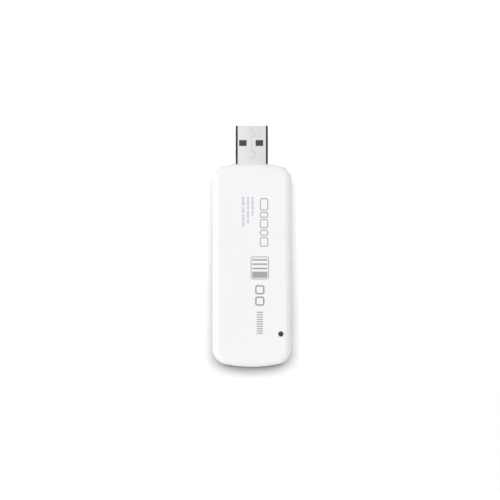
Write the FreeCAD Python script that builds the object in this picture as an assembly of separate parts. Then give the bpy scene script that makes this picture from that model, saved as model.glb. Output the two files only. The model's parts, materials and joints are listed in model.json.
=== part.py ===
import FreeCAD, Part
import math
import os

# Smart home USB radio stick, in millimetres.
# It lies on its front face, with X across, Y towards the plug and Z up to the plain back.

# Body, its length taken to the flat land that the plug comes out of
body_length = 75.45
body_width = 29.3
body_thickness = 9.0
end_radius = 50.0
head_crown = 0.5
head_corner_radius = 5.0
tail_corner_radius = 5.8
edge_round = 2.6
wall = 1.2

# How far pieces of one solid run into each other before they are fused, and cuts run past a face
root = 0.1

# Tongue, groove and snap beads between the two shells
tongue_height = 0.8
tongue_thickness = 0.5
lip_clearance = 0.05
seam_groove = 0.2
bead_length = 5.0
bead_radius = 0.3
bead_stand = 0.15
bead_count = 3
bead_spacing = 18.0

# Plug
plug_reach = 14.4
plug_root = 4.4
plug_width = 12.0
plug_height = 4.5
plug_sheet = 0.3
plug_corner = 0.8
plug_lead_in = 0.12
plug_clearance = 0.04
plug_rib = 0.8
window_width = 2.8
window_length = 2.2
window_spacing = 6.14
window_offset = -0.25
window_from_tip = 5.4
slit = 0.06
seam_offset = -0.18
seam_tab_reach = 1.2
seam_tab_flare = 0.12
seam_tabs_from_tip = ((2.05, 4.1), (9.6, 11.8))
solder_tab_reach = 1.8
solder_tab_length = 1.6

# Plug insulator and contacts
insulator_setback = 0.8
insulator_gap = 0.05
insulator_block = 4.4
insulator_face = 0.05
contact_width = 1.0
contact_thickness = 0.22
contact_below_middle = 0.1
contact_turn_up = 0.5
contact_tail = 3.4
contact_slot_gap = 0.02
power_contact_x = 3.5
data_contact_x = 1.0
power_contact_from_tip = 1.9
data_contact_from_tip = 2.9

# Main board and what holds it
board_thickness = 1.0
board_clearance = 0.35
post_radius = 1.4
pin_radius = 0.6
pin_reach = 1.2
pin_hole_clearance = 0.1
pin_socket_clearance = 0.04
post_from_side = 3.45
head_post_from_head = 11.1
middle_post_from_tail = 37.0
tail_post_from_side = 4.45
tail_post_from_tail = 5.5

# Action button and light ring, on the front face
button_from_tail = 21.0
button_radius = 5.6
button_recess = 0.1
button_floor = 1.0
button_wall = 0.8
button_flange = 0.5
button_clearance = 0.1
button_seat_gap = 0.08
button_bevel = 0.25
button_stem_radius = 1.6
ring_width = 0.9
ring_clearance = 0.1
ring_flange = 0.6
ring_flange_reach = 1.4
collar_wall = 0.8

# Tact switches
switch_travel = 0.25
switch_cover = 0.45
switch_floor = 0.2
switch_play = 0.03
switch_corner = 0.3
plunger_collar = 0.15
plunger_collar_reach = 0.5
plunger_clearance = 0.05
dome_sheet = 0.08
action_switch_width = 5.2
action_switch_height = 1.4
action_plunger_radius = 1.1
action_plunger_length = 0.4
reset_switch_width = 3.6
reset_switch_height = 1.4
reset_plunger_radius = 0.6
reset_plunger_length = 1.1

# Pinhole over the reset switch, on the back
pinhole_radius = 0.98
pinhole_from_side = 3.85
pinhole_from_tail = 12.3
pinhole_bevel = 0.12
pinhole_guide_wall = 0.6
pinhole_guide_depth = 0.6

# Radio module and antenna coil
module_width = 17.0
module_length = 16.0
module_thickness = 0.8
module_from_tail = 11.5
castellation_radius = 0.4
castellation_pitch = 2.0
castellation_count = 7
shield_width = 13.0
shield_length = 11.5
shield_height = 1.8
shield_sheet = 0.2
shield_corner = 0.6
shield_hole_radius = 0.4
shield_hole_count = 4
radio_chip_width = 5.0
radio_chip_height = 0.85
coil_from_tail = 6.4
coil_radius = 1.3
coil_wire_radius = 0.25
coil_turns = 6
coil_end_gap = 1.2

# Battery
battery_from_head = 12.1
battery_gap = 0.3
battery_swell_gap = 0.4
battery_edge_round = 0.6
battery_module_gap = 2.8
pad_thickness = 0.2
terrace_length = 3.0
terrace_thickness = 0.4
terrace_inset = 1.0
protection_length = 2.4
protection_thickness = 0.6
lead_radius = 0.35
lead_spacing = 3.0
lead_bend = 1.0
lead_run = 1.7

# Components under the main board, placed in from the sides and back from the head
components_from_side = 8.0
chip_pad_gap = 0.1
pin_mark_radius = 0.4
pin_mark_depth = 0.05
pin_mark_from_side = 0.85
controller_width = 7.0
controller_height = 0.85
controller_from_head = 26.6
bridge_width = 4.4
bridge_length = 5.0
bridge_height = 1.0
bridge_from_head = 11.6
lead_count = 7
lead_pitch = 0.65
lead_width = 0.28
lead_sheet = 0.14
lead_reach = 0.9
charger_width = 3.0
charger_height = 0.8
crystal_width = 3.2
crystal_length = 2.5
crystal_height = 0.8
crystal_corner = 0.4
power_from_head = 19.4
inductor_radius = 2.0
inductor_waist = 1.5
inductor_height = 1.6
inductor_rim = 0.3
tantalum_width = 3.5
tantalum_length = 2.8
tantalum_height = 1.8
tantalum_draft = 0.15
chip_part_length = 1.6
chip_part_width = 0.8
capacitor_height = 0.8
resistor_height = 0.45
chip_part_count = 4
chip_part_pitch = 1.6
capacitors_from_head = 19.4
resistors_from_head = 33.0
light_width = 1.6
light_length = 0.8
light_height = 0.6
light_base = 0.25
light_gap = 0.2

# Places that follow from the sizes
half_width = body_width / 2
overall_length = body_length + plug_reach
tip_y = overall_length / 2
head_y = tip_y - plug_reach
tail_y = -tip_y
parting_z = body_thickness / 2
floor_z = wall
roof_z = body_thickness - wall
plug_low = parting_z - plug_height / 2
plug_high = parting_z + plug_height / 2
plug_back_y = head_y - plug_root
board_top = parting_z - contact_below_middle
board_low = board_top - board_thickness
button_y = tail_y + button_from_tail
reset_x = half_width - pinhole_from_side
reset_y = tail_y + pinhole_from_tail
post_x = half_width - post_from_side
tail_post_x = half_width - tail_post_from_side
post_places = [
    (side * x, y)
    for x, y in (
        (post_x, head_y - head_post_from_head),
        (post_x, tail_y + middle_post_from_tail),
        (tail_post_x, tail_y + tail_post_from_tail),
    )
    for side in (-1, 1)
]
parts = {}


def vec(x, y, z):
    return FreeCAD.Vector(x, y, z)


def outline(inset):
    """Closed plan outline of the body, moved inwards: straight sides and two shallow bowed ends."""
    x = half_width - inset
    edges = []
    for way, apex, corner_radius in (
        (1, head_y + head_crown, head_corner_radius),
        (-1, tail_y, tail_corner_radius),
    ):
        corner_x = half_width - corner_radius
        rise = math.sqrt((end_radius - corner_radius) ** 2 - corner_x**2)
        lean = math.atan2(corner_x, rise)
        end_y = apex - way * end_radius
        corner_y = end_y + way * rise
        reach = end_radius - inset
        bend = corner_radius - inset
        joint_x = reach * math.sin(lean)
        joint_y = end_y + way * reach * math.cos(lean)
        half_turn = (math.pi / 2 - lean) / 2
        for side in (1, -1):
            middle = vec(
                side * (corner_x + bend * math.cos(half_turn)),
                corner_y + way * bend * math.sin(half_turn),
                0,
            )
            ends = vec(side * x, corner_y, 0), vec(side * joint_x, joint_y, 0)
            edges.append(Part.Arc(ends[0], middle, ends[1]).toShape())
            crown = vec(0, end_y + way * reach, 0)
            middle_x = side * reach * math.sin(lean / 2)
            middle = vec(middle_x, end_y + way * reach * math.cos(lean / 2), 0)
            edges.append(Part.Arc(ends[1], middle, crown).toShape())
        if way == 1:
            head_corner_y = corner_y
    for side in (1, -1):
        start = vec(side * x, head_corner_y, 0)
        edges.append(Part.LineSegment(start, vec(side * x, corner_y, 0)).toShape())
    return Part.Wire(Part.__sortEdges__(edges))


def prism(wire, low, high):
    """Upright solid on a closed flat wire."""
    face = Part.Face(wire)
    face.translate(vec(0, 0, low))
    return face.extrude(vec(0, 0, high - low))


def pebble(inset):
    """The body's form moved inwards, with both faces rounded into the sides."""
    low, high = inset, body_thickness - inset
    block = prism(outline(inset), low, high)
    rims = [e for e in block.Edges if abs(e.BoundBox.ZMax - e.BoundBox.ZMin) < 1e-6]
    return block.makeFillet(edge_round - inset, rims)


def rounded_rectangle(width, depth, radius, place):
    """Closed wire of a rectangle with round corners; place turns (u, v) into a point."""
    u, v = width / 2, depth / 2
    edges = []
    for su, sv in ((1, 1), (-1, 1), (-1, -1), (1, -1)):
        cu, cv = su * (u - radius), sv * (v - radius)
        k = radius * math.sqrt(0.5)
        on_u = place(su * u, cv)
        on_v = place(cu, sv * v)
        edges.append(Part.Arc(on_u, place(cu + su * k, cv + sv * k), on_v).toShape())
    for side in (1, -1):
        u_ends = place(u - radius, side * v), place(radius - u, side * v)
        v_ends = place(side * u, v - radius), place(side * u, radius - v)
        edges.append(Part.LineSegment(*u_ends).toShape())
        edges.append(Part.LineSegment(*v_ends).toShape())
    return Part.Wire(Part.__sortEdges__(edges))


def ribbon(points, thickness, place):
    """Flat face of even thickness along a run of straight lines; place turns (u, v) into a point."""
    ways = []
    for (u0, v0), (u1, v1) in zip(points, points[1:]):
        length = math.hypot(u1 - u0, v1 - v0)
        ways.append(((v0 - v1) / length, (u1 - u0) / length))
    left, right = [], []
    for i, (u, v) in enumerate(points):
        a = ways[max(i - 1, 0)]
        b = ways[min(i, len(ways) - 1)]
        share = thickness / 2 / (1 + a[0] * b[0] + a[1] * b[1])
        du, dv = (a[0] + b[0]) * share, (a[1] + b[1]) * share
        left.append(place(u + du, v + dv))
        right.append(place(u - du, v - dv))
    ring = left + right[::-1]
    return Part.Face(Part.makePolygon(ring + ring[:1]))


def block(x, y, low, width, length, height):
    """Plain block centred on x and y, standing on low."""
    return Part.makeBox(width, length, height, vec(x - width / 2, y - length / 2, low))


def rod(radius, x, y, low, high):
    return Part.makeCylinder(radius, high - low, vec(x, y, low))


def turned(profile, x, y):
    """Solid turned about an upright axis from (radius, height) points."""
    ring = [vec(r, 0, z) for r, z in profile]
    face = Part.Face(Part.makePolygon(ring + ring[:1]))
    solid = face.revolve(vec(0, 0, 0), vec(0, 0, 1), 360)
    solid.translate(vec(x, y, 0))
    return solid


def joined(shapes):
    return shapes[0].multiFuse(shapes[1:]).removeSplitter()


def on_board(shape, x, y):
    """A component drawn standing on z = 0, seated on the board's upper face."""
    shape = shape.copy()
    shape.translate(vec(x, y, board_top))
    return shape


def under_board(shape, x, y):
    """A component drawn standing on z = 0, seated on the board's lower face."""
    shape = shape.copy()
    shape.rotate(vec(0, 0, 0), vec(0, 1, 0), 180)
    shape.translate(vec(x, y, board_low))
    return shape


# Solid forms that the two shells are cut from, with the bow of the head cut back to the land
past_land = block(0, head_y + end_radius / 2, 0, 2 * body_width, end_radius, body_thickness)
outer_form = pebble(0).cut(past_land)
inner_form = pebble(wall)
above = block(0, 0, parting_z, 2 * body_width, 2 * body_length, body_thickness)
below = block(0, 0, parting_z - body_thickness, 2 * body_width, 2 * body_length, body_thickness)

# Passage for the plug, shared by both shells
passage = Part.Face(
    rounded_rectangle(
        plug_width + 2 * plug_clearance,
        plug_height + 2 * plug_clearance,
        plug_corner + plug_clearance,
        lambda u, v: vec(u, plug_back_y, parting_z + v),
    )
).extrude(vec(0, plug_root + end_radius, 0))

# Snap beads along the tongue's straight sides, and the hollows that take them
tongue_x = half_width - wall + tongue_thickness
bead_z = parting_z + tongue_height / 2
bead_middle_y = (head_y + tail_y) / 2
beads, bead_hollows = [], []
for side in (-1, 1):
    for n in range(bead_count):
        x = side * (tongue_x + bead_stand - bead_radius)
        y = bead_middle_y + (n - (bead_count - 1) / 2) * bead_spacing
        start = vec(x, y - bead_length / 2, bead_z)
        beads.append(Part.makeCylinder(bead_radius, bead_length, start, vec(0, 1, 0)))
        start = vec(x, y - bead_length / 2 - lip_clearance, bead_z)
        hollow_length = bead_length + 2 * lip_clearance
        hollow_radius = bead_radius + lip_clearance
        bead_hollows.append(Part.makeCylinder(hollow_radius, hollow_length, start, vec(0, 1, 0)))

# Front shell: floor, sides, tongue, board posts with pins, ring collar and plug ribs
ring_inner = button_radius + button_clearance
ring_outer = ring_inner + ring_width
ring_reach = ring_outer + ring_flange_reach
opening_radius = ring_outer + ring_clearance
collar_inner = ring_reach + ring_clearance
tongue_top = parting_z + tongue_height
tongue = prism(outline(wall - tongue_thickness), parting_z - root, tongue_top)
tongue = tongue.cut(prism(outline(wall), parting_z - 2 * root, tongue_top + root))
front = [outer_form.common(below).cut(inner_form), tongue] + beads
for x, y in post_places:
    front.append(rod(post_radius, x, y, floor_z - root, board_low))
    front.append(rod(pin_radius, x, y, board_low - root, board_top + pin_reach))
collar = rod(collar_inner + collar_wall, 0, button_y, floor_z - root, floor_z + ring_flange)
front.append(collar.cut(rod(collar_inner, 0, button_y, floor_z - root, floor_z + ring_flange)))
rib_y = plug_back_y + plug_root / 2 - plug_rib
rib_width = plug_width - 2 * plug_corner
front.append(block(0, rib_y, floor_z - root, rib_width, plug_rib, plug_low - floor_z + root))
opening = rod(opening_radius, 0, button_y, -root, floor_z + root)
parts["front_shell"] = joined(front).cut(opening).cut(passage)

# Back shell: roof, sides, rabbet for the tongue, pin sockets, pinhole with its guide and plug ribs
rabbet_inset = wall - tongue_thickness - lip_clearance
rabbet = prism(outline(rabbet_inset), parting_z - root, tongue_top + lip_clearance)
groove = prism(outline(-root), parting_z - root, parting_z + seam_groove)
groove = groove.cut(prism(outline(seam_groove), parting_z - 2 * root, parting_z + 2 * seam_groove))
back = [outer_form.common(above).cut(inner_form).cut(rabbet).cut(groove)]
back[0] = back[0].cut(Part.makeCompound(bead_hollows))
sockets = []
for x, y in post_places:
    back.append(rod(post_radius, x, y, board_top, roof_z + root))
    socket_radius = pin_radius + pin_socket_clearance
    sockets.append(rod(socket_radius, x, y, board_top - root, board_top + pin_reach + root))
guide_radius = pinhole_radius + pinhole_guide_wall
guide_low = roof_z - pinhole_guide_depth
back.append(rod(guide_radius, reset_x, reset_y, guide_low, roof_z + root))
back.append(block(0, rib_y, plug_high, rib_width, plug_rib, roof_z + root - plug_high))
pinhole = turned(
    [
        (0, guide_low - root),
        (pinhole_radius, guide_low - root),
        (pinhole_radius, body_thickness - pinhole_bevel),
        (pinhole_radius + 2 * pinhole_bevel, body_thickness + pinhole_bevel),
        (0, body_thickness + pinhole_bevel),
    ],
    reset_x,
    reset_y,
)
parts["back_shell"] = joined(back).cut(Part.makeCompound(sockets + [pinhole])).cut(passage)

# Plug shell: folded sheet with a jigsaw seam, four windows, a lead-in and two solder tabs
plug_outer = rounded_rectangle(
    plug_width, plug_height, plug_corner, lambda u, v: vec(u, plug_back_y, parting_z + v)
)
plug_inner = rounded_rectangle(
    plug_width - 2 * plug_sheet,
    plug_height - 2 * plug_sheet,
    plug_corner - plug_sheet,
    lambda u, v: vec(u, plug_back_y, parting_z + v),
)
plug_length = tip_y - plug_back_y
sleeve = Part.Face(plug_outer).extrude(vec(0, plug_length, 0))
mouth_rim = [e for e in sleeve.Edges if e.BoundBox.YMin > tip_y - 1e-6]
sleeve = sleeve.makeChamfer(plug_lead_in, mouth_rim)
sleeve = sleeve.cut(Part.Face(plug_inner).extrude(vec(0, plug_length, 0)))
solder_y = plug_back_y + plug_clearance + solder_tab_length
tabs = []
for side in (-1, 1):
    tab_x = side * (plug_width / 2 + (solder_tab_reach - plug_sheet) / 2)
    tab_width = solder_tab_reach + plug_sheet
    tabs.append(block(tab_x, solder_y, board_top, tab_width, solder_tab_length, plug_sheet))
sleeve = joined([sleeve] + tabs)
window_y = tip_y - window_from_tip - window_length / 2
for side in (-1, 1):
    window_x = window_offset + side * window_spacing / 2
    window = block(window_x, window_y, 0, window_width, window_length, body_thickness)
    sleeve = sleeve.cut(window)
tab_end_x = seam_offset + seam_tab_reach
seam_line = [(seam_offset, tip_y + root)]
for start, stop in seam_tabs_from_tip:
    seam_line.append((seam_offset, tip_y - start))
    seam_line.append((tab_end_x, tip_y - start + seam_tab_flare))
    seam_line.append((tab_end_x, tip_y - stop - seam_tab_flare))
    seam_line.append((seam_offset, tip_y - stop))
seam_line.append((seam_offset, plug_back_y - root))
seam_low = plug_high - 2 * plug_sheet
seam_cut = ribbon(seam_line, slit, lambda u, v: vec(u, v, seam_low))
parts["plug_shell"] = sleeve.cut(seam_cut.extrude(vec(0, 0, 3 * plug_sheet)))

# Plug contacts: flat strips turned up into the insulator at the front, lying on the board behind
contact_low = board_top
contact_high = contact_low + contact_thickness
contact_middle = contact_low + contact_thickness / 2
tail_end_y = plug_back_y - contact_tail
contact_cuts = []
for name, x, from_tip in (
    ("supply_contact", -power_contact_x, power_contact_from_tip),
    ("data_minus_contact", -data_contact_x, data_contact_from_tip),
    ("data_plus_contact", data_contact_x, data_contact_from_tip),
    ("ground_contact", power_contact_x, power_contact_from_tip),
):
    front_y = tip_y - from_tip
    run = [
        (tail_end_y, contact_middle),
        (front_y - contact_turn_up, contact_middle),
        (front_y, contact_middle + contact_turn_up),
    ]
    strip = ribbon(run, contact_thickness, lambda u, v: vec(x - contact_width / 2, u, v))
    parts[name] = strip.extrude(vec(contact_width, 0, 0))
    slot_width = contact_width + 2 * contact_slot_gap
    run[0] = (plug_back_y - root, contact_middle)
    slot = ribbon(run, contact_thickness, lambda u, v: vec(x - slot_width / 2, u, v))
    contact_cuts.append(slot.extrude(vec(slot_width, 0, 0)))

# Plug insulator: a tongue under the seam side and a block that fills the shell at the back
insulator_width = plug_width - 2 * plug_sheet - 2 * insulator_gap
insulator_low = parting_z + insulator_face
insulator_high = plug_high - plug_sheet
insulator_back = plug_back_y + insulator_gap
tongue_length = tip_y - insulator_setback - insulator_back
insulator_tongue = block(
    0,
    insulator_back + tongue_length / 2,
    insulator_low,
    insulator_width,
    tongue_length,
    insulator_high - insulator_low,
)
insulator_fill = block(
    0,
    insulator_back + insulator_block / 2,
    plug_low + plug_sheet,
    insulator_width,
    insulator_block,
    plug_height - 2 * plug_sheet,
)
insulator = joined([insulator_tongue, insulator_fill])
long_edges = [
    e
    for e in insulator.Edges
    if abs(abs(e.BoundBox.Center.x) - insulator_width / 2) < 1e-6
    and e.BoundBox.XLength < 1e-6
    and e.BoundBox.ZLength < 1e-6
    and abs(e.BoundBox.Center.z - insulator_low) > 1e-6
]
insulator = insulator.makeFillet(plug_corner - plug_sheet, long_edges)
parts["plug_insulator"] = insulator.cut(Part.makeCompound(contact_cuts))

# Main board: the body's outline, notched for the plug and drilled for the pins
board = prism(outline(wall + board_clearance), board_low, board_top)
notch_width = plug_width + 2 * plug_clearance
notch = block(0, plug_back_y - plug_clearance + end_radius / 2, 0, notch_width, end_radius, parting_z)
pin_holes = [
    rod(pin_radius + pin_hole_clearance, x, y, board_low - root, board_top + root)
    for x, y in post_places
]
parts["main_board"] = board.cut(Part.makeCompound([notch] + pin_holes))


def tact_switch(width, height, plunger_radius, plunger_length):
    """Case, plunger and dome of a small push switch standing on z = 0, pressed downwards."""
    collar_radius = plunger_radius + plunger_collar_reach
    pocket_radius = collar_radius + plunger_clearance
    pocket_top = height - switch_cover
    collar_top = pocket_top - switch_play
    case = prism(
        rounded_rectangle(width, width, switch_corner, lambda u, v: vec(u, v, 0)), 0, height
    )
    case = case.cut(rod(pocket_radius, 0, 0, switch_floor, pocket_top))
    case = case.cut(rod(plunger_radius + plunger_clearance, 0, 0, pocket_top - root, height + root))
    plunger = turned(
        [
            (0, collar_top - plunger_collar),
            (collar_radius, collar_top - plunger_collar),
            (collar_radius, collar_top),
            (plunger_radius, collar_top),
            (plunger_radius, height + plunger_length),
            (0, height + plunger_length),
        ],
        0,
        0,
    )
    dome_top = collar_top - plunger_collar - switch_travel - switch_play
    rise = dome_top - switch_floor
    dome_radius = collar_radius
    ball = (dome_radius**2 + rise**2) / 2 / rise
    dome = Part.makeSphere(ball, vec(0, 0, dome_top - ball))
    dome = dome.cut(Part.makeSphere(ball - dome_sheet, vec(0, 0, dome_top - ball)))
    dome = dome.common(rod(dome_radius, 0, 0, switch_floor, height))
    return case, plunger, dome


# Switches: action switch under the board, reset switch on the board below the pinhole
case, plunger, dome = tact_switch(
    action_switch_width, action_switch_height, action_plunger_radius, action_plunger_length
)
parts["action_switch_case"] = under_board(case, 0, button_y)
parts["action_switch_plunger"] = under_board(plunger, 0, button_y)
parts["action_switch_dome"] = under_board(dome, 0, button_y)
case, plunger, dome = tact_switch(
    reset_switch_width, reset_switch_height, reset_plunger_radius, reset_plunger_length
)
parts["reset_switch_case"] = on_board(case, reset_x, reset_y)
parts["reset_switch_plunger"] = on_board(plunger, reset_x, reset_y)
parts["reset_switch_dome"] = on_board(dome, reset_x, reset_y)

# Light ring: clear ring in the front opening with a flange on the shell's floor
ring_top = floor_z + ring_flange
parts["light_ring"] = turned(
    [
        (ring_inner, button_recess),
        (ring_outer, button_recess),
        (ring_outer, floor_z),
        (ring_reach, floor_z),
        (ring_reach, ring_top),
        (ring_inner, ring_top),
    ],
    0,
    button_y,
)

# Action button: a cup held by its flange behind the ring, with a stem on the switch plunger
stem_top = board_low - action_switch_height - action_plunger_length
flange_low = ring_top + button_seat_gap
flange_top = flange_low + button_flange
cup_radius = button_radius - button_wall
cup_floor = button_recess + button_floor
parts["action_button"] = turned(
    [
        (0, button_recess),
        (button_radius - button_bevel, button_recess),
        (button_radius, button_recess + button_bevel),
        (button_radius, flange_low),
        (ring_outer, flange_low),
        (ring_outer, flange_top),
        (cup_radius, flange_top),
        (cup_radius, cup_floor),
        (button_stem_radius, cup_floor),
        (button_stem_radius, stem_top),
        (0, stem_top),
    ],
    0,
    button_y,
)

# Radio module: castellated board, pressed shield can and the radio chip below it, in the middle
# of the room between the board's edge and the reset switch
board_edge_x = wall + board_clearance - half_width
module_x = (board_edge_x + reset_x - reset_switch_width / 2) / 2
module_y = tail_y + module_from_tail + module_length / 2
module = block(0, 0, 0, module_width, module_length, module_thickness)
notches = []
for n in range(castellation_count):
    y = (n - (castellation_count - 1) / 2) * castellation_pitch
    for side in (-1, 1):
        x = side * module_width / 2
        notches.append(rod(castellation_radius, x, y, -root, module_thickness + root))
module = module.cut(Part.makeCompound(notches))
parts["radio_module_board"] = on_board(module, module_x, module_y)
shield_top = module_thickness + shield_height
shield = prism(
    rounded_rectangle(shield_width, shield_length, shield_corner, lambda u, v: vec(u, v, 0)),
    module_thickness,
    shield_top,
)
shield_rim = [e for e in shield.Edges if e.BoundBox.ZMin > shield_top - 1e-6]
shield = shield.makeFillet(2 * shield_sheet, shield_rim)
hollow = prism(
    rounded_rectangle(
        shield_width - 2 * shield_sheet,
        shield_length - 2 * shield_sheet,
        shield_corner - shield_sheet,
        lambda u, v: vec(u, v, 0),
    ),
    module_thickness - root,
    shield_top - shield_sheet,
)
hollow_rim = [e for e in hollow.Edges if e.BoundBox.ZMin > shield_top - shield_sheet - 1e-6]
shield = shield.cut(hollow.makeFillet(shield_sheet, hollow_rim))
hole_pitch = shield_width / (shield_hole_count + 1)
for n in range(shield_hole_count):
    x = (n - (shield_hole_count - 1) / 2) * hole_pitch
    y = shield_length / 2 - hole_pitch / 2
    shield = shield.cut(rod(shield_hole_radius, x, y, module_thickness, shield_top + root))
parts["radio_shield_can"] = on_board(shield, module_x, module_y)
radio_chip = block(0, 0, module_thickness, radio_chip_width, radio_chip_width, radio_chip_height)
parts["radio_chip"] = on_board(radio_chip, module_x, module_y)

# Antenna coil: a wound wire that lies across the board at the tail
coil_y = tail_y + coil_from_tail
coil_length = 2 * (tail_post_x - post_radius - coil_end_gap)
coil_turn_pitch = coil_length / coil_turns
helix = Part.makeHelix(coil_turn_pitch, coil_length, coil_radius)
slope = math.atan2(coil_turn_pitch, 2 * math.pi * coil_radius)
start_way = vec(0, math.cos(slope), math.sin(slope))
wire_ring = Part.Wire(Part.makeCircle(coil_wire_radius, vec(coil_radius, 0, 0), start_way))
coil = Part.Wire(helix).makePipeShell([wire_ring], True, True)
coil.rotate(vec(0, 0, 0), vec(0, 1, 0), 90)
coil_z = coil_radius + coil_wire_radius
coil.translate(vec(-coil_length / 2, 0, coil_z))
parts["antenna_coil"] = on_board(coil, 0, coil_y)

# Battery: pouch cell on its pad, between the board posts and as long as its bay
battery_width = 2 * (post_x - post_radius - battery_gap)
battery_front = head_y - battery_from_head
battery_back = module_y + module_length / 2 + battery_module_gap
cell_front = battery_front - terrace_length
cell_length = cell_front - battery_back
cell_middle = (cell_front + battery_back) / 2
cell_low = board_top + pad_thickness
cell_height = roof_z - battery_swell_gap - cell_low
cell = block(0, cell_middle, cell_low, battery_width, cell_length, cell_height)
cell = cell.makeFillet(battery_edge_round, cell.Edges)
terrace_width = battery_width - 2 * terrace_inset
terrace_back = cell_front - 2 * battery_edge_round
terrace_y = (battery_front + terrace_back) / 2
terrace_run = battery_front - terrace_back
terrace = block(0, terrace_y, cell_low, terrace_width, terrace_run, terrace_thickness)
parts["battery_cell"] = joined([cell, terrace])
pad_middle = (battery_front + battery_back) / 2
pad_length = battery_front - battery_back
pad_width = battery_width - 2 * battery_edge_round
parts["battery_pad"] = block(0, pad_middle, board_top, pad_width, pad_length, pad_thickness)

# Protection board on the cell's terrace, and two leads down to the main board
protection_low = cell_low + terrace_thickness
protection_y = battery_front - terrace_length / 2
protection_width = terrace_width - 2 * terrace_inset
parts["battery_protection_board"] = block(
    0, protection_y, protection_low, protection_width, protection_length, protection_thickness
)
protection_top = protection_low + protection_thickness
for name, side in (("battery_lead_positive", 1), ("battery_lead_negative", -1)):
    x = side * lead_spacing / 2
    high = protection_top + lead_radius
    low = board_top + lead_radius
    y = [protection_y - protection_length / 4]
    y += [battery_front, battery_front + lead_run, battery_front + 2 * lead_run]
    drop = math.atan2(high - low, lead_run)
    back_off = lead_bend * math.tan(drop / 2)
    along, down = back_off * math.cos(drop), back_off * math.sin(drop)
    mid_turn = drop / 2
    first = vec(x, y[1] - back_off, high)
    second = vec(x, y[1] + along, high - down)
    third = vec(x, y[2] - along, low + down)
    fourth = vec(x, y[2] + back_off, low)
    upper = vec(
        x,
        first.y + lead_bend * math.sin(mid_turn),
        high - lead_bend * (1 - math.cos(mid_turn)),
    )
    lower = vec(
        x,
        fourth.y - lead_bend * math.sin(mid_turn),
        low + lead_bend * (1 - math.cos(mid_turn)),
    )
    path = Part.Wire(
        [
            Part.LineSegment(vec(x, y[0], high), first).toShape(),
            Part.Arc(first, upper, second).toShape(),
            Part.LineSegment(second, third).toShape(),
            Part.Arc(third, lower, fourth).toShape(),
            Part.LineSegment(fourth, vec(x, y[3], low)).toShape(),
        ]
    )
    section = Part.Wire(Part.makeCircle(lead_radius, vec(x, y[0], high), vec(0, 1, 0)))
    parts[name] = path.makePipeShell([section], True, False)

# Chips under the board
side_x = half_width - components_from_side
controller = block(0, 0, 0, controller_width, controller_width, controller_height)
mark_x = controller_width / 2 - pin_mark_from_side
mark_low = controller_height - pin_mark_depth
pin_mark = rod(pin_mark_radius, mark_x, mark_x, mark_low, controller_height + root)
controller = controller.cut(pin_mark)
parts["controller_chip"] = under_board(controller, 0, head_y - controller_from_head)
bridge = block(0, 0, chip_pad_gap, bridge_width, bridge_length, bridge_height)
lead_high = chip_pad_gap + bridge_height / 2
bridge_leads = []
for n in range(lead_count):
    y = (n - (lead_count - 1) / 2) * lead_pitch - lead_width / 2
    for side in (-1, 1):
        edge = side * bridge_width / 2
        knee = edge + side * lead_reach / 3
        run = [
            (edge - side * root, lead_high),
            (knee, lead_high),
            (knee + side * lead_sheet, lead_sheet / 2),
            (edge + side * lead_reach, lead_sheet / 2),
        ]
        foot = ribbon(run, lead_sheet, lambda u, v: vec(u, y, v))
        bridge_leads.append(foot.extrude(vec(0, lead_width, 0)))
bridge_y = head_y - bridge_from_head
parts["usb_bridge_chip"] = under_board(joined([bridge] + bridge_leads), 0, bridge_y)
charger = block(0, 0, 0, charger_width, charger_width, charger_height)
parts["charger_chip"] = under_board(charger, side_x, bridge_y)
crystal = prism(
    rounded_rectangle(crystal_width, crystal_length, crystal_corner, lambda u, v: vec(u, v, 0)),
    0,
    crystal_height,
)
parts["crystal_can"] = under_board(crystal, -side_x, bridge_y)

# Charging inductor and bulk capacitor
inductor = turned(
    [
        (0, 0),
        (inductor_radius, 0),
        (inductor_radius, inductor_rim),
        (inductor_waist, inductor_rim),
        (inductor_waist, inductor_height - inductor_rim),
        (inductor_radius, inductor_height - inductor_rim),
        (inductor_radius, inductor_height),
        (0, inductor_height),
    ],
    0,
    0,
)
power_y = head_y - power_from_head
parts["power_inductor"] = under_board(inductor, side_x, power_y)
rings = []
for inset, z in (
    (tantalum_draft, 0),
    (0, tantalum_height / 2),
    (tantalum_draft, tantalum_height),
):
    x = tantalum_width / 2 - inset
    y = tantalum_length / 2 - inset
    corners = [vec(x, y, z), vec(-x, y, z), vec(-x, -y, z), vec(x, -y, z)]
    rings.append(Part.makePolygon(corners + corners[:1]))
tantalum = Part.makeLoft(rings, True, True)
parts["bulk_capacitor"] = under_board(tantalum, -side_x, power_y)


def chip_row(height, y):
    """A row of small two-ended chip parts under the board."""
    row = []
    for n in range(chip_part_count):
        x = (n - (chip_part_count - 1) / 2) * chip_part_pitch
        part = block(0, 0, 0, chip_part_width, chip_part_length, height)
        row.append(under_board(part, x, y))
    return Part.makeCompound(row)


parts["ceramic_capacitors"] = chip_row(capacitor_height, head_y - capacitors_from_head)
parts["chip_resistors"] = chip_row(resistor_height, head_y - resistors_from_head)

# Two lights under the board, over the ring's flange
light_x = ring_outer + light_gap + light_width / 2
light = block(0, 0, 0, light_width, light_length, light_base)
lens = block(0, 0, 0, light_width / 2, light_length, light_height)
light = joined([light, lens])
parts["light_left"] = under_board(light, -light_x, button_y)
parts["light_right"] = under_board(light, light_x, button_y)

os.makedirs("parts", exist_ok=True)
for name, shape in parts.items():
    shape.exportStep("parts/" + name + ".step")
    print(name, shape.isValid(), len(shape.Solids), round(shape.Volume, 3))
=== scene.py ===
import json
import math

import bmesh
import bpy
from mathutils import Matrix, Vector


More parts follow.
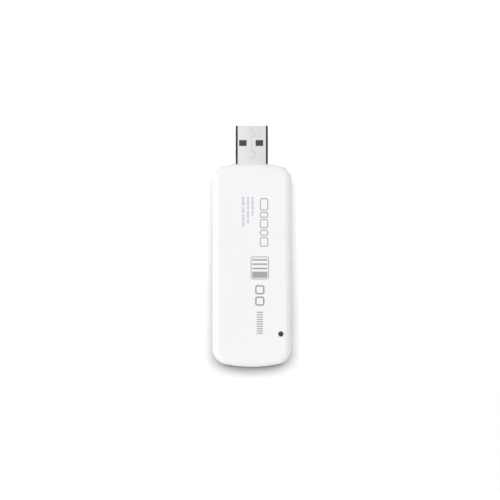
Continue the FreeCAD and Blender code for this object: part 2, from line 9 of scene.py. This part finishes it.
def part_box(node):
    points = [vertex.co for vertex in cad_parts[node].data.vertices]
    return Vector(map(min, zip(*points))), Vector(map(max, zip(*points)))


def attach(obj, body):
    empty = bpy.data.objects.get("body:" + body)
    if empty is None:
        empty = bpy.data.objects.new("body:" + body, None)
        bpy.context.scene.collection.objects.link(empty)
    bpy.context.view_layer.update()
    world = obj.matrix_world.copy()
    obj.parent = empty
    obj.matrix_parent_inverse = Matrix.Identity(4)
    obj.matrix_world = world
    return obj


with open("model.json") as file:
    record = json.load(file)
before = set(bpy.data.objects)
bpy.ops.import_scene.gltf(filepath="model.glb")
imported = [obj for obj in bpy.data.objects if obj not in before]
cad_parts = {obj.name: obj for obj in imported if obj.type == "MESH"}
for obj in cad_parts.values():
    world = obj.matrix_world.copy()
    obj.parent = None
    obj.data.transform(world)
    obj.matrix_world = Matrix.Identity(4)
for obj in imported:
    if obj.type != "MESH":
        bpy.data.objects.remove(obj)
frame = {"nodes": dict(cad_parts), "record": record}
bpy.context.view_layer.update()

MM = 0.001

# The stick lies on its front face. Its back, 9 mm up, is what the camera sees.
BACK_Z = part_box("back_shell")[1].z
PLUG_LOW, PLUG_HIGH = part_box("plug_shell")
PLUG_MIDDLE_Z = (PLUG_LOW.z + PLUG_HIGH.z) / 2
PLUG_SIDE_X = 6.0 * MM
PLUG_BEND = 0.86 * MM


# Small tools for colours and nodes

NOISE_LOW = 0.3
NOISE_HIGH = 0.7


def linear(code):
    """Linear colour of an sRGB hex value."""
    parts = [int(code[i:i + 2], 16) / 255 for i in (1, 3, 5)]
    return [c / 12.92 if c <= 0.04045 else ((c + 0.055) / 1.055) ** 2.4 for c in parts] + [1.0]


def add(tree, kind, values=None, links=None, **settings):
    """One node with its settings, its socket values and the sockets that feed it."""
    node = tree.nodes.new(kind)
    for name, value in settings.items():
        setattr(node, name, value)
    for socket, value in (values or {}).items():
        node.inputs[socket].default_value = value
    for socket, source in (links or {}).items():
        tree.links.new(source, node.inputs[socket])
    return node


def new_finish(name, **sockets):
    """A material with one Principled shader; returns the material, its tree and the shader."""
    material = bpy.data.materials.new(name)
    material.use_nodes = True
    tree = material.node_tree
    tree.nodes.clear()
    shader = add(tree, "ShaderNodeBsdfPrincipled")
    for socket, value in sockets.items():
        shader.inputs[socket.replace("_", " ")].default_value = value
    add(tree, "ShaderNodeOutputMaterial", links={"Surface": shader.outputs["BSDF"]})
    return material, tree, shader


def grain(tree, size_mm, stretch=(1, 1, 1), detail=3.0):
    """Noise whose lumps are about size_mm across, in the object's own place."""
    place = add(tree, "ShaderNodeTexCoord")
    scaled = add(
        tree, "ShaderNodeMapping",
        {"Scale": [1 / (size_mm * MM * s) for s in stretch]}, {"Vector": place.outputs["Object"]},
    )
    return add(
        tree, "ShaderNodeTexNoise",
        {"Scale": 1.0, "Detail": detail, "Roughness": 0.55}, {"Vector": scaled.outputs["Vector"]},
    )


def spread(tree, source, low, high, start=NOISE_LOW, stop=NOISE_HIGH):
    """A number from low to high as the source goes from start to stop."""
    values = {"From Min": start, "From Max": stop, "To Min": low, "To Max": high}
    return add(tree, "ShaderNodeMapRange", values, {"Value": source}).outputs["Result"]


def away_from(tree, source, middle):
    """How far a number lies from a middle value, either way."""
    offset = add(tree, "ShaderNodeMath", {1: middle}, {0: source}, operation="SUBTRACT")
    distance = add(tree, "ShaderNodeMath", links={0: offset.outputs["Value"]}, operation="ABSOLUTE")
    return distance.outputs["Value"]


def tint(tree, source, first, second, start=NOISE_LOW, stop=NOISE_HIGH):
    """A colour that runs from first to second as the source goes from start to stop."""
    ramp = add(tree, "ShaderNodeValToRGB", links={"Fac": source})
    ramp.color_ramp.elements[0].position = start
    ramp.color_ramp.elements[0].color = linear(first)
    ramp.color_ramp.elements[1].position = stop
    ramp.color_ramp.elements[1].color = linear(second)
    return ramp.outputs["Color"]


def mixed(tree, factor, first, second, way="MIX"):
    """Two colours laid over each other, fully where there is no factor."""
    node = add(
        tree, "ShaderNodeMix", {0: 1.0}, {6: first, 7: second}, data_type="RGBA", blend_type=way
    )
    if factor is not None:
        tree.links.new(factor, node.inputs[0])
    return node.outputs[2]


def relief(tree, shader, source, depth_mm):
    """Bump of a real depth on the shader."""
    bump = add(tree, "ShaderNodeBump", {"Distance": depth_mm * MM}, {"Height": source})
    tree.links.new(bump.outputs["Normal"], shader.inputs["Normal"])


# Finishes, with the sizes and depths of their patterns in millimetres

CLOUD_SIZE = 14.0
SPARK_SIZE = 0.22
SPARK_DEPTH = 0.004
ROLL_SIZE = 0.12
ROLL_LENGTHENED = (1, 40, 1)
ROLL_DEPTH = 0.0015
RIM_START = 0.3 * MM
RIM_FULL = 0.15 * MM
INK_GRAIN = 0.15
INK_GRAIN_DEPTH = 0.002
INK_ROUGHNESS = 0.5


def moulded_abs(name, pale, deep, roughness):
    """White ABS from a finely sparked mould: an even satin skin with a faint cloudy gloss."""
    material, tree, shader = new_finish(name, IOR=1.54, Roughness=roughness)
    cloud = grain(tree, CLOUD_SIZE, detail=2.0)
    tree.links.new(tint(tree, cloud.outputs["Fac"], deep, pale), shader.inputs["Base Color"])
    spark = grain(tree, SPARK_SIZE, detail=4.0)
    shine = spread(tree, spark.outputs["Fac"], roughness - 0.05, roughness + 0.07)
    tree.links.new(shine, shader.inputs["Roughness"])
    relief(tree, shader, spark.outputs["Fac"], SPARK_DEPTH)
    return material


def nickel_plated_steel(name, left_flat_painted_lit, right_flat_painted_shade, side_painted_shade, bend_painted_dark_reflection, edge_on, roughness):
    """Rolled steel sheet, nickel plated and folded into a box.

    The flats are bright, with fine lines along the roll, and are painted a shade darker
    from left to right. The bends carry a painted dark reflection next to the flats that
    lightens towards the sides, which are painted a shade darker than the flats. The
    sheared rim of the mouth is a shade darker. Seen edge-on, nickel loses a little light.
    """
    material, tree, shader = new_finish(name, Metallic=1.0, Roughness=roughness)
    shader.inputs["Specular Tint"].default_value = linear(edge_on)
    place = add(tree, "ShaderNodeTexCoord")
    split = add(tree, "ShaderNodeSeparateXYZ", links={"Vector": place.outputs["Object"]})
    # Painted shade: the flats run from a lit tone on the left to a darker tone on the right
    across = spread(tree, split.outputs["X"], 0.0, 1.0, -PLUG_SIDE_X, PLUG_SIDE_X)
    flats = tint(tree, across, left_flat_painted_lit, right_flat_painted_shade, 0.1, 0.9)
    # Painted dark reflection on the bends, lightening to a painted shade on the sides
    height = away_from(tree, split.outputs["Z"], PLUG_MIDDLE_Z)
    flank = (PLUG_HIGH.z - PLUG_LOW.z) / 2 - PLUG_BEND
    off_side = spread(tree, height, 0.0, 1.0, flank - PLUG_BEND / 4, flank + PLUG_BEND / 2)
    folded = tint(tree, off_side, side_painted_shade, bend_painted_dark_reflection, 0.0, 1.0)
    reach = away_from(tree, split.outputs["X"], 0.0)
    bend_start = PLUG_SIDE_X - PLUG_BEND
    at_painted_bend = spread(tree, reach, 0.0, 1.0, bend_start, bend_start + PLUG_BEND / 4)
    sheet = mixed(tree, at_painted_bend, flats, folded)
    roll = grain(tree, ROLL_SIZE, stretch=ROLL_LENGTHENED)
    lines = tint(tree, roll.outputs["Fac"], "#F3F3F3", "#FFFFFF")
    mouth = PLUG_HIGH.y
    at_rim = spread(tree, split.outputs["Y"], 0.0, 1.0, mouth - RIM_START, mouth - RIM_FULL)
    rim = tint(tree, at_rim, "#FFFFFF", "#E6E6E4", 0.0, 1.0)
    trimmed = mixed(tree, None, lines, rim, "MULTIPLY")
    tree.links.new(mixed(tree, None, sheet, trimmed, "MULTIPLY"), shader.inputs["Base Color"])
    shine = spread(tree, roll.outputs["Fac"], roughness - 0.03, roughness + 0.05)
    tree.links.new(shine, shader.inputs["Roughness"])
    relief(tree, shader, roll.outputs["Fac"], ROLL_DEPTH)
    return material


def plain_finish(name, pale, deep, roughness, metallic=0.0, size_mm=0.4, depth_mm=0.004, **sockets):
    """A small piece: two close tones, a broken gloss and a shallow grain."""
    material, tree, shader = new_finish(name, Metallic=metallic, Roughness=roughness, **sockets)
    speck = grain(tree, size_mm)
    tree.links.new(tint(tree, speck.outputs["Fac"], deep, pale), shader.inputs["Base Color"])
    shine = spread(tree, speck.outputs["Fac"], roughness - 0.06, roughness + 0.08)
    tree.links.new(shine, shader.inputs["Roughness"])
    relief(tree, shader, speck.outputs["Fac"], depth_mm)
    return material


def printed_ink(name, pale, deep):
    """Pad-printed ink: a thin flat coat, a little broken where it meets the moulded skin."""
    return plain_finish(
        name, pale, deep, INK_ROUGHNESS, size_mm=INK_GRAIN, depth_mm=INK_GRAIN_DEPTH
    )


finishes = {
    "white_shell": moulded_abs("moulded_abs_shell", "#F6F6F8", "#F5F5F6", 0.42),
    "button_plastic": moulded_abs("moulded_abs_button", "#F6F6F6", "#F3F3F4", 0.34),
    # Moulded light guide: milky all through, with a smooth skin
    "clear_ring": plain_finish(
        "milky_acrylic", "#F2F5F6", "#E6EBEE", 0.3, size_mm=1.5, depth_mm=0.002,
        IOR=1.49, Transmission_Weight=0.15,
    ),
    # Nickel plug: painted shade across the flats, a painted dark reflection on the bends, painted
    # shade on the sides
    "plug_steel": nickel_plated_steel(
        "nickel_plated_steel", left_flat_painted_lit="#F5F5F3", right_flat_painted_shade="#EAEBE8", side_painted_shade="#C4C4C1", bend_painted_dark_reflection="#373736",
        edge_on="#DCDCDA", roughness=0.2,
    ),
    # Stamped strip with gold plated over it
    "contact_gold": plain_finish("gold_plated_strip", "#F2CF86", "#E6BE70", 0.24, 1.0),
    "insulator_black": plain_finish("moulded_black_nylon", "#414142", "#39393A", 0.5),
    # Glass board under a coat of cured lacquer, which leaves it half glossy
    "main_board_green": plain_finish("green_solder_mask", "#2C7A4C", "#24693F", 0.32),
    "module_board_green": plain_finish("dark_solder_mask", "#1F5C46", "#194C3A", 0.32),
    # Laminated foil, drawn to a pouch: soft shine and shallow dents
    "cell_foil": plain_finish(
        "pouch_foil", "#C9CBCF", "#B9BBC0", 0.34, 1.0, size_mm=2.5, depth_mm=0.03
    ),
    # Open cells, dull and rough
    "foam_pad": plain_finish("foam_tape", "#47484A", "#3A3B3D", 0.85, size_mm=0.25, depth_mm=0.03),
    "lead_red": plain_finish("red_wire_sleeve", "#B3221F", "#9F1C1A", 0.42),
    "lead_black": plain_finish("black_wire_sleeve", "#222224", "#19191B", 0.42),
    # Steel sheet dipped in tin, with its broad soft crystals
    "shield_tin": plain_finish("tinned_sheet", "#DADAD6", "#CBCBC6", 0.36, 1.0, size_mm=0.8),
    # Drawn wire under a thin clear enamel
    "coil_copper": plain_finish("enamelled_copper", "#D9946A", "#C98258", 0.26, 1.0),
    # Moulded packages, sparked dull
    "chip_black": plain_finish("moulded_chip_epoxy", "#34353A", "#2A2B2F", 0.62, size_mm=0.12),
    "ferrite": plain_finish("pressed_ferrite", "#4C4C50", "#3E3E42", 0.7, size_mm=0.1),
    "tantalum_yellow": plain_finish("yellow_moulded_epoxy", "#E0A93E", "#D39A30", 0.5),
    "ceramic_tan": plain_finish("fired_ceramic", "#B79A78", "#A88B6A", 0.55, size_mm=0.1),
    "switch_black": plain_finish("grey_switch_nylon", "#85858B", "#7B7B81", 0.5),
    # Rolled and pressed sheet, bright from the roll
    "dome_steel": plain_finish("spring_steel", "#D5D5D2", "#C6C6C3", 0.22, 1.0),
    "light_white": plain_finish("cast_clear_epoxy", "#F4F0DC", "#E9E4CC", 0.2, IOR=1.5),
}
plunger_nylon = plain_finish("black_plunger_nylon", "#505055", "#494A4E", 0.5)
ink_grey = printed_ink("grey_ink", "#A9AAAC", "#A2A3A5")
ink_soft = printed_ink("soft_grey_ink", "#A9AAAE", "#A2A3A7")
ink_pale = printed_ink("pale_grey_ink", "#C6C6CC", "#C0C0C7")

slots = {row["node"]: row["material_slot"] for row in frame["record"]["subparts"]}
plungers = ("action_switch_plunger", "reset_switch_plunger")
for name, piece in frame["nodes"].items():
    piece.data.materials.clear()
    piece.data.materials.append(plunger_nylon if name in plungers else finishes[slots[name]])


# Print on the back: generic fields and bars, in millimetres. Y falls towards the tail.

INK_THICKNESS = 0.02
INK_SINK = 0.004
CORNER_SEGMENTS = 8

TITLE_X = 4.55
TITLE_START_Y = 17.8
TITLE_HEIGHT = 3.1
TITLE_LENGTHS = (4.6, 2.2, 3.4, 2.2, 3.6)
TITLE_GAP = 0.5
TITLE_CORNER = 0.8
TITLE_STROKE = 0.36

LINES_START_Y = 18.1
TICK_WIDTH = 0.3
TICK_PITCH = 0.42
TICK_SHARES = (1.0, 0.7, 0.7, 0.9, 0.7)
# Where each line lies, how tall its tallest tick is and how many ticks its groups have
SMALL_LINES = (
    (0.3, 0.95, (6, 4, 4)),
    (-1.4, 1.0, (7, 3, 6, 4)),
    (-3.2, 1.1, (8, 5, 6, 4)),
)

MARKS_X = 2.97
BADGE_Y = -8.1
BADGE_WIDTH = 6.8
BADGE_LENGTH = 8.5
BADGE_CORNER = 0.9
BADGE_STROKE = 0.3
BADGE_FILL_WIDTH = 5.6
BADGE_BAND_Y = -10.6
BADGE_BAND_LENGTH = 2.3
BADGE_BARS_Y = (-5.1, -6.7, -8.3)
BADGE_BAR_LENGTH = 0.6

SQUARES_Y = (-16.2, -20.4)
SQUARE_SIDE = 3.5
SQUARE_CORNER = 0.9
SQUARE_STROKE = 0.6

SCALE_START_Y = -24.6
SCALE_PITCH = 0.86
SCALE_BARS = 10
SCALE_BAR_WIDTH = 2.3
SCALE_BAR_LENGTH = 0.42


def bar(mesh, x, y, width, length):
    """Rectangle of ink with its middle at x and y."""
    place = Matrix.Translation((x, y, 0)) @ Matrix.Diagonal((width, length, 1, 1))
    made = bmesh.ops.create_grid(mesh, x_segments=1, y_segments=1, size=0.5, matrix=place)
    return made["verts"][0].link_faces[0]


def rounded(mesh, face, corner):
    """Rounds the corners of one flat face."""
    made = bmesh.ops.bevel(
        mesh, geom=face.verts[:], offset=corner, segments=CORNER_SEGMENTS, profile=0.5,
        affect="VERTICES", material=-1,
    )
    return max(made["verts"][0].link_faces, key=lambda f: f.calc_area())


def hollowed(mesh, face, stroke):
    """Leaves only a line of the given stroke along the rim of one flat face."""
    bmesh.ops.inset_region(
        mesh, faces=[face], thickness=stroke, use_even_offset=True, use_boundary=True
    )
    bmesh.ops.delete(mesh, geom=[face], context="FACES")


def ticks_along(mesh, x, start_y, tallest, counts):
    """Groups of fine ticks from start_y towards the tail, a little uneven in height."""
    y = start_y
    for count in counts:
        for n in range(count):
            share = TICK_SHARES[n % len(TICK_SHARES)]
            bar(mesh, x, y - TICK_WIDTH / 2, tallest * share, TICK_WIDTH)
            y -= TICK_PITCH
        y -= TICK_PITCH


def print_piece(name, mesh, ink):
    """Lays the flat shapes on the back face as a thin coat that rides on the stick."""
    raised = bmesh.ops.extrude_face_region(mesh, geom=mesh.faces[:])
    tops = [v for v in raised["geom"] if isinstance(v, bmesh.types.BMVert)]
    bmesh.ops.translate(mesh, verts=tops, vec=(0, 0, INK_THICKNESS))
    bmesh.ops.recalc_face_normals(mesh, faces=mesh.faces)
    bmesh.ops.scale(mesh, verts=mesh.verts, vec=(MM, MM, MM))
    bmesh.ops.translate(mesh, verts=mesh.verts, vec=(0, 0, BACK_Z - INK_SINK * MM))
    data = bpy.data.meshes.new(name)
    mesh.to_mesh(data)
    mesh.free()
    piece = bpy.data.objects.new(name, data)
    bpy.context.scene.collection.objects.link(piece)
    data.materials.append(ink)
    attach(piece, "stick")


def title_row():
    """Open rounded bars of uneven length in a row, where the large print would be."""
    mesh = bmesh.new()
    y = TITLE_START_Y
    for length in TITLE_LENGTHS:
        field = bar(mesh, TITLE_X, y - length / 2, TITLE_HEIGHT, length)
        hollowed(mesh, rounded(mesh, field, TITLE_CORNER), TITLE_STROKE)
        y -= length + TITLE_GAP
    print_piece("print_title", mesh, ink_soft)


def small_lines():
    """Three lines of fine ticks in groups, where the small print would be."""
    mesh = bmesh.new()
    for x, tallest, counts in SMALL_LINES:
        ticks_along(mesh, x, LINES_START_Y, tallest, counts)
    print_piece("print_small_lines", mesh, ink_pale)


def badge():
    """A rounded frame round a filled band and three bars."""
    mesh = bmesh.new()
    field = bar(mesh, MARKS_X, BADGE_Y, BADGE_WIDTH, BADGE_LENGTH)
    hollowed(mesh, rounded(mesh, field, BADGE_CORNER), BADGE_STROKE)
    print_piece("print_badge_frame", mesh, ink_soft)
    mesh = bmesh.new()
    bar(mesh, MARKS_X, BADGE_BAND_Y, BADGE_FILL_WIDTH, BADGE_BAND_LENGTH)
    for y in BADGE_BARS_Y:
        bar(mesh, MARKS_X, y, BADGE_FILL_WIDTH, BADGE_BAR_LENGTH)
    print_piece("print_badge_fill", mesh, ink_grey)


def simple_shapes():
    """Two open squares with round corners under the badge."""
    mesh = bmesh.new()
    for y in SQUARES_Y:
        field = bar(mesh, MARKS_X, y, SQUARE_SIDE, SQUARE_SIDE)
        hollowed(mesh, rounded(mesh, field, SQUARE_CORNER), SQUARE_STROKE)
    print_piece("print_shapes", mesh, ink_grey)


def scale_marks():
    """A short scale of cross bars near the tail."""
    mesh = bmesh.new()
    for n in range(SCALE_BARS):
        bar(mesh, MARKS_X, SCALE_START_Y - n * SCALE_PITCH, SCALE_BAR_WIDTH, SCALE_BAR_LENGTH)
    print_piece("print_scale", mesh, ink_grey)


title_row()
small_lines()
badge()
simple_shapes()
scale_marks()


# Floor: a light grey card that its own two panel lamps light up to white. To the eye it glows
# a little towards the head, because the shadow beside the body fades that way.

CARD_REACH = 3.0
CARD_GAP = 0.03 * MM
CARD_GLOW_AT_TAIL = 0.0
CARD_GLOW_AT_HEAD = 0.14
CARD_GLOW_END_Y = 26.0 * MM

card_mesh = bmesh.new()
bmesh.ops.create_grid(card_mesh, x_segments=1, y_segments=1, size=CARD_REACH)
bmesh.ops.translate(card_mesh, verts=card_mesh.verts, vec=(0, 0, -CARD_GAP))
floor_data = bpy.data.meshes.new("floor")
card_mesh.to_mesh(floor_data)
card_mesh.free()
floor = bpy.data.objects.new("floor", floor_data)
bpy.context.scene.collection.objects.link(floor)

card, card_tree, card_shader = new_finish("matt_grey_card", Roughness=1.0)
card_shader.inputs["Base Color"].default_value = linear("#B4B4B4")
card_shader.inputs["Specular IOR Level"].default_value = 0.0
card_shader.inputs["Emission Color"].default_value = linear("#FFFFFF")
card_ray = add(card_tree, "ShaderNodeLightPath")
card_place = add(card_tree, "ShaderNodeTexCoord")
card_split = add(
    card_tree, "ShaderNodeSeparateXYZ", links={"Vector": card_place.outputs["Object"]}
)
glow = spread(
    card_tree, card_split.outputs["Y"], CARD_GLOW_AT_TAIL, CARD_GLOW_AT_HEAD,
    -CARD_GLOW_END_Y, CARD_GLOW_END_Y,
)
seen_glow = add(
    card_tree, "ShaderNodeMath", links={0: card_ray.outputs["Is Camera Ray"], 1: glow},
    operation="MULTIPLY",
)
card_tree.links.new(seen_glow.outputs["Value"], card_shader.inputs["Emission Strength"])
floor_data.materials.append(card)


# World: white to the eye, even for soft light, and for metal bright overhead and dimmer
# near the floor

SOFT_LEVEL = 0.12
LOW_REFLECTION = 0.6
HIGH_REFLECTION = 0.95
HIGH_FROM = 0.35

world = bpy.data.worlds.new("studio")
bpy.context.scene.world = world
world.use_nodes = True
sky = world.node_tree
sky.nodes.clear()
sky_way = add(sky, "ShaderNodeTexCoord")
sky_split = add(sky, "ShaderNodeSeparateXYZ", links={"Vector": sky_way.outputs["Generated"]})
mirrored = spread(sky, sky_split.outputs["Z"], LOW_REFLECTION, HIGH_REFLECTION, 0.0, HIGH_FROM)
sky_ray = add(sky, "ShaderNodeLightPath")
for_light = add(
    sky, "ShaderNodeMix", {"A": SOFT_LEVEL},
    {"Factor": sky_ray.outputs["Is Glossy Ray"], "B": mirrored},
)
to_eye = add(
    sky, "ShaderNodeMath",
    links={0: sky_ray.outputs["Is Camera Ray"], 1: sky_ray.outputs["Is Transmission Ray"]},
    operation="MAXIMUM",
)
level = add(
    sky, "ShaderNodeMix", {"B": 1.0},
    {"Factor": to_eye.outputs["Value"], "A": for_light.outputs["Result"]},
)
backdrop = add(
    sky, "ShaderNodeBackground", {"Color": linear("#FFFFFF")}, {"Strength": level.outputs["Result"]}
)
add(sky, "ShaderNodeOutputWorld", links={"Surface": backdrop.outputs["Background"]})


# Lamps: broad and soft. Three light the stick, two light the card and draw the shadows on it.

LAMP_AWAY = 10.0


def group_of(name, things):
    """A collection of objects for a lamp to light or be shaded by."""
    group = bpy.data.collections.new(name)
    for thing in things:
        group.objects.link(thing)
    return group


def placed_lamp(name, data, towards, lit, shading=None):
    """A lamp that shines along a direction on the given objects only."""
    lamp = bpy.data.objects.new(name, data)
    lamp.rotation_euler = Vector(towards).to_track_quat("-Z", "Y").to_euler()
    lamp.location = -Vector(towards).normalized() * LAMP_AWAY
    lamp.visible_glossy = False
    bpy.context.scene.collection.objects.link(lamp)
    lamp.light_linking.receiver_collection = group_of(name + "_lights", lit)
    if shading:
        lamp.light_linking.blocker_collection = group_of(name + "_shades", shading)


def soft_sun(name, towards, strength, spread_degrees, lit):
    """A round lamp so far away that it lights every piece alike."""
    data = bpy.data.lights.new(name, "SUN")
    data.energy = strength
    data.angle = math.radians(spread_degrees)
    placed_lamp(name, data, towards, lit)


def panel(name, towards, power, width, height, lit, shading):
    """A wide rectangular lamp above the stick that only the shading pieces hold back."""
    data = bpy.data.lights.new(name, "AREA")
    data.shape = "RECTANGLE"
    data.size = width
    data.size_y = height
    data.energy = power
    placed_lamp(name, data, towards, lit, shading)


stick_pieces = [o for o in bpy.context.scene.objects if o.type == "MESH" and o is not floor]
shells = [frame["nodes"]["front_shell"], frame["nodes"]["back_shell"]]
plug = [frame["nodes"]["plug_shell"], frame["nodes"]["plug_insulator"]]
soft_sun(
    "dome_lamp", towards=(0.0, 0.0, -1.0), strength=2.46, spread_degrees=60, lit=stick_pieces
)
soft_sun(
    "left_lamp", towards=(1.0, 1.3, -0.2), strength=0.83, spread_degrees=30, lit=stick_pieces
)
soft_sun(
    "head_left_lamp", towards=(1.0, -0.9, -0.25), strength=0.85, spread_degrees=30,
    lit=stick_pieces,
)
# The card's light comes in two equal shares. The plug holds back only one of them, so its
# shadow is faint.
for name, shading in (("body_panel", shells), ("plug_panel", shells + plug)):
    panel(
        name, towards=(0.02, -0.36, -1.0), power=1465.0, width=12.0, height=6.6,
        lit=[floor], shading=shading,
    )


# Camera: straight above the back, with the plug at the top of the picture

PIXELS_PER_MM = 2.675
PICTURE_SIDE = 500
LENS = 120.0
SENSOR = 36.0
AIM_X = -0.67 * MM
AIM_Y = -1.425 * MM
NEAREST_SEEN = 0.01
FARTHEST_SEEN = 20.0

view_width = PICTURE_SIDE / PIXELS_PER_MM * MM
lens_height = view_width * LENS / SENSOR + PLUG_MIDDLE_Z
eye = bpy.data.cameras.new("camera")
eye.lens = LENS
eye.sensor_width = SENSOR
eye.clip_start = NEAREST_SEEN
eye.clip_end = FARTHEST_SEEN
camera = bpy.data.objects.new("camera", eye)
camera.location = (AIM_X, AIM_Y, lens_height)
bpy.context.scene.collection.objects.link(camera)
bpy.context.scene.camera = camera

bpy.context.scene.view_settings.view_transform = "Standard"

bpy.context.view_layer.update()
